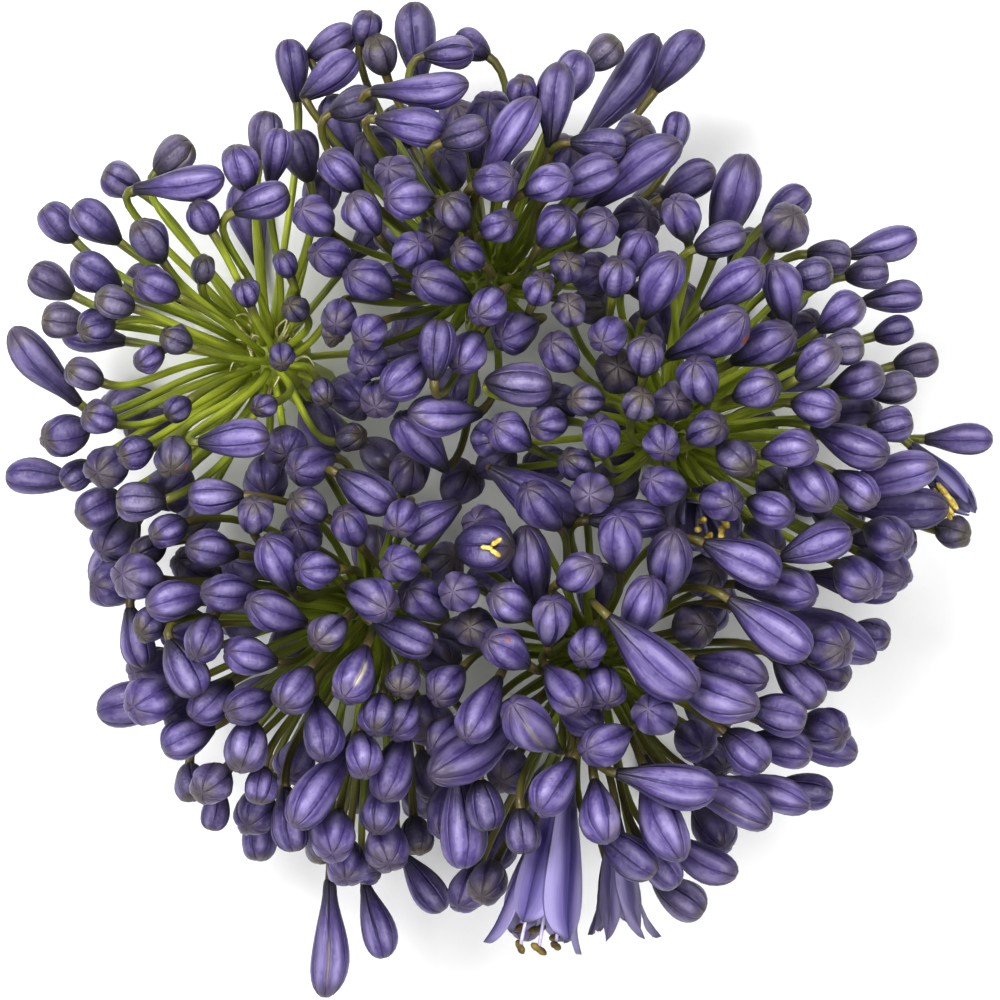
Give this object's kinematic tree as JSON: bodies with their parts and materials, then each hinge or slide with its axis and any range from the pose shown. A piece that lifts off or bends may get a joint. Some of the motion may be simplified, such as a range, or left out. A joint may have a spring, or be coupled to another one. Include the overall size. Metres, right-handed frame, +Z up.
{
  "type": "agapanthus flower head",
  "caption": "Crowded agapanthus flower head of violet-blue buds on green pedicels, cut short and resting face up on its lower buds.",
  "frame": {"origin": "middle of the head's box, on the surface it rests on", "axes": "+Z up, out of the face of the head; +Y towards the top of the head as it is seen from above, +X to the right"},
  "size_m": [0.1983, 0.2002, 0.0936],
  "materials": {
    "violet_buds": "satin",
    "green_stalks": "satin",
    "pale_threads": "matte"
  },
  "bodies": {
    "root": {"umbel_left": "violet_buds", "umbel_lower_left": "violet_buds", "umbel_top": "violet_buds", "umbel_right": "violet_buds", "umbel_lower_right": "violet_buds"}
  },
  "joints": []
}
